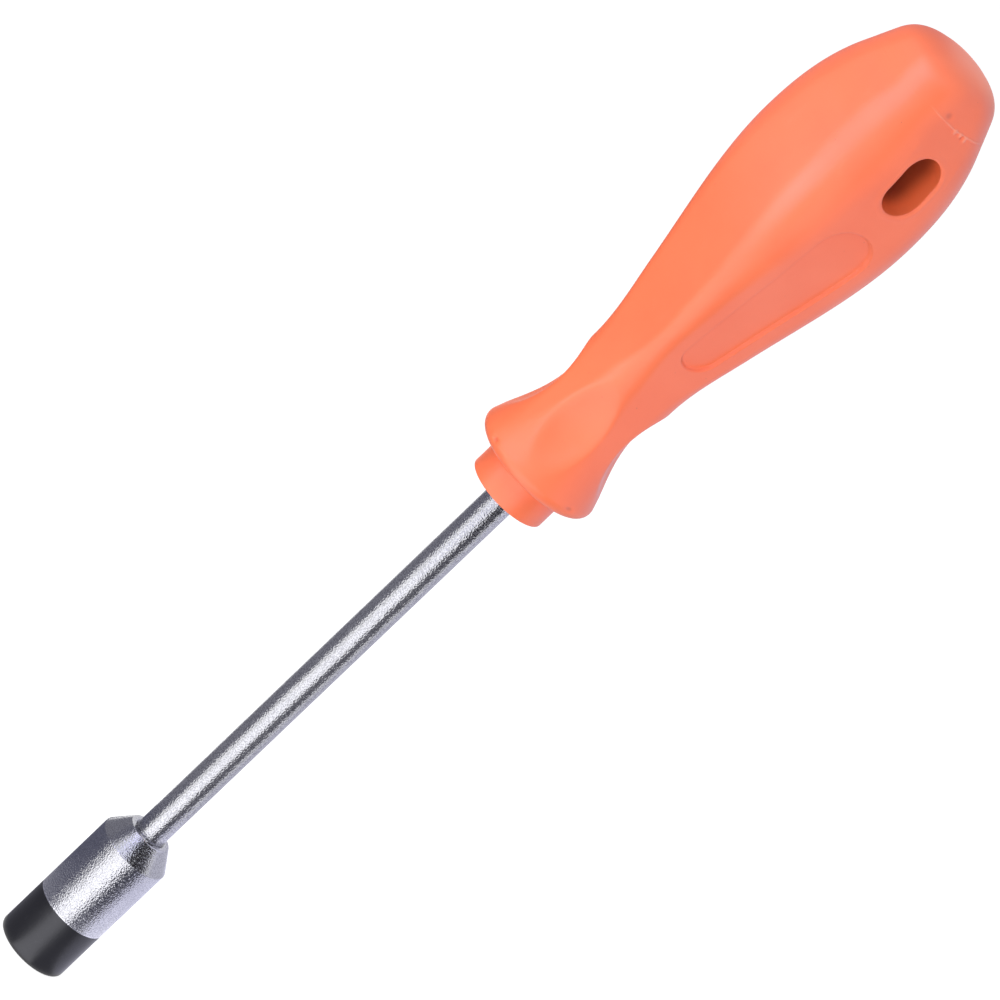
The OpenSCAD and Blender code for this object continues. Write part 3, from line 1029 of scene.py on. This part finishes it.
def seen(paint):
    """1 for rays from the lens, from mirrors and through glass, 0 for scattered light."""
    camera, mirror, glass = (paint.node("LightPath", out=f"Is {kind} Ray") for kind in SEEN_RAYS)
    return (camera + mirror + glass).ease(0, 1)


def white_floor():
    """A grey plane that scatters light, and that glows white where it is seen."""
    material, paint = new_finish("floor_white")
    diffuse = paint.node("BsdfDiffuse", values={"Color": FLOOR_GREY})
    glow = paint.node("Emission", values={"Strength": seen(paint) * FLOOR_GLOW})
    shader = paint.node("AddShader", values={0: diffuse, 1: glow})
    paint.node("OutputMaterial", values={"Surface": shader})
    h = FLOOR_HALF
    corners = [(-h, -h, 0), (h, -h, 0), (h, h, 0), (-h, h, 0)]
    add_mesh("floor", corners, [(0, 1, 2, 3)], material)


def white_world():
    """A dim sky that is full white where it is seen."""
    world = bpy.data.worlds.new("studio")
    world.use_nodes = True
    paint = Paint(world.node_tree)
    strength = AMBIENT + seen(paint) * (1 - AMBIENT)
    sky = paint.node("Background", values={"Color": AMBIENT_TINT, "Strength": strength})
    paint.node("OutputWorld", values={"Surface": sky})
    bpy.context.scene.world = world


white_floor()
white_world()
print("ground and world are white to the lens")

# %% [markdown]
# ## Cards round the tool
# Steel shows nothing but its surroundings. In a studio, cards round the tool draw the bands on
# it: a bright window beside the lens, a dark card on its right, a pale one further round and a
# dark one on its left. Each part of the tool mirrors another ring of the room, so there are
# five rings of cards, each with its own brightness: the ground at the socket's foot, a low ring
# for the socket, a tall one for the bar, one above it for the socket's cone, where the window
# leans over to the left, and the highest for the grip. The cards show in reflections alone.

# %% Reflection cards
WINDOW_TINT, SKY_TINT, SOFT_TINT = (1.0, 1.0, 1.05), (0.95, 0.97, 1.16), (0.95, 0.95, 1.12)
DARK_TINT, PALE_TINT, HAZE_TINT = (0.88, 0.9, 1.25), (0.95, 0.95, 1.18), (0.95, 0.92, 1.4)
FOOT_R, NEAR_R, FAR_R = 8.0, 36.0, 100.0
ABOVE_FLOOR, LOW_TOP, BAR_TOP, CONE_TOP, GRIP_TOP = 0.2, 22.0, 92.0, 160.0, 360.0
# Radius and height of the circles that each ring runs through
CARD_RINGS = {
    "ground": [(FOOT_R, ABOVE_FLOOR), (NEAR_R, ABOVE_FLOOR)],
    "low": [(NEAR_R, ABOVE_FLOOR), (NEAR_R, LOW_TOP)],
    "bar": [(NEAR_R, ABOVE_FLOOR), (FAR_R, ABOVE_FLOOR), (FAR_R, BAR_TOP)],
    "cone": [(FAR_R, BAR_TOP), (FAR_R, CONE_TOP)],
    "grip": [(FAR_R, CONE_TOP), (FAR_R, GRIP_TOP)],
}
# First and last angle from the lens, brightness and tint of each card
CARDS = {
    "ground": [(-24, 16, 1.75, WINDOW_TINT), (19, 66, 0.42, SOFT_TINT), (70, 180, 1.2, SOFT_TINT),
               (-180, -28, 0.38, SOFT_TINT)],
    "low": [(-28, 17, 1.9, WINDOW_TINT), (22, 62, 0.1, DARK_TINT), (67, 180, 1.0, PALE_TINT),
            (-180, -44, 0.17, DARK_TINT)],
    "bar": [(-25, 20, 1.65, WINDOW_TINT), (28, 78, 0.19, SOFT_TINT), (90, 180, 0.74, SOFT_TINT),
            (-150, -50, 0.28, SOFT_TINT)],
    "cone": [(-36, 11, 1.2, SKY_TINT), (11.5, 78, 0.0, DARK_TINT), (87, 180, 1.05, PALE_TINT),
             (-145, -56, 0.17, DARK_TINT)],
    "grip": [(-36, 11, 2.2, HAZE_TINT), (11.5, 66, 0.03, DARK_TINT), (78, 180, 1.0, PALE_TINT),
             (-145, -56, 0.4, DARK_TINT)],
}
LEAN = np.radians(-30)
LEAN_FROM, LEAN_TO = 112.0, 150.0
CARD_ROWS, CARD_COLUMNS = 60, 40


def card(name, circles, start, end, strength, tint):
    """Part of a ring about the axis: a line through circles of [radius, height], carried between
    two angles from the lens, which shift by the lean between two heights."""
    circles = np.array(circles)
    place = np.linspace(0, len(circles) - 1, CARD_ROWS)[:, None]
    stops = np.arange(len(circles))
    radius, height = (np.interp(place, stops, column) for column in circles.T)
    lean = LEAN * smooth_step(height, LEAN_FROM, LEAN_TO)
    turn = LENS_TURN + np.radians(np.linspace(start, end, CARD_COLUMNS)) + lean
    points = turned(radius + np.zeros_like(turn), height, turn)
    index = np.arange(turn.size).reshape(turn.shape)
    quads = np.stack([index[:-1, :-1], index[:-1, 1:], index[1:, 1:], index[1:, :-1]], axis=-1)
    material, paint = new_finish(name)
    glow = paint.node("Emission", values={"Color": (*tint, 1), "Strength": strength})
    paint.node("OutputMaterial", values={"Surface": glow})
    made = add_mesh(name, points.reshape(-1, 3), quads.reshape(-1, 4).tolist(), material)
    made.visible_camera = made.visible_diffuse = False
    made.visible_shadow = made.visible_transmission = False


for ring, circles in CARD_RINGS.items():
    for number, values in enumerate(CARDS[ring]):
        card(f"{ring}_card_{number}", circles, *values)
print("cards:", {ring: len(cards) for ring, cards in CARDS.items()})

# %% [markdown]
# ## Lamps
# Five soft lamps light the tool: a key beside the lens, a low one on each side, which also
# reach the underside of the swelling grip, and two above for the shoulder and the butt. The
# cards already draw the reflections, so the lamps are left out of them.

# %% Soft lamps
# Angle from the lens, distance, height, size and watts of each lamp
LAMPS = {
    "front": (5, 600, 200, 400, 0.9),
    "low_left": (-55, 350, 20, 200, 0.85),
    "low_right": (25, 380, 20, 200, 0.9),
    "top_left": (-70, 500, 600, 400, 1.8),
    "top_front": (0, 500, 750, 400, 1.0),
}
LAMP_AIM = np.array([0, 0, 150.0])


def lamp(name, turn, distance, height, size, watts):
    """A square soft box at an angle from the lens, aimed at the tool's middle."""
    data = bpy.data.lights.new(name, "AREA")
    data.size = size * MM
    data.energy = watts
    made = add_object(name, data)
    angle = LENS_TURN + np.radians(turn)
    spot = np.array([distance * np.cos(angle), distance * np.sin(angle), height])
    back = spot - LAMP_AIM
    back /= np.linalg.norm(back)
    side = np.cross(up_axis, back)
    side /= np.linalg.norm(side)
    stand(made, side, np.cross(back, side), back, spot)
    made.visible_glossy = False


for name, values in LAMPS.items():
    lamp(name, *values)
print("lamps:", sorted(LAMPS))

# %% [markdown]
# ## View settings
# The picture uses plain Standard colours.

# %% View settings
bpy.context.scene.view_settings.view_transform = "Standard"
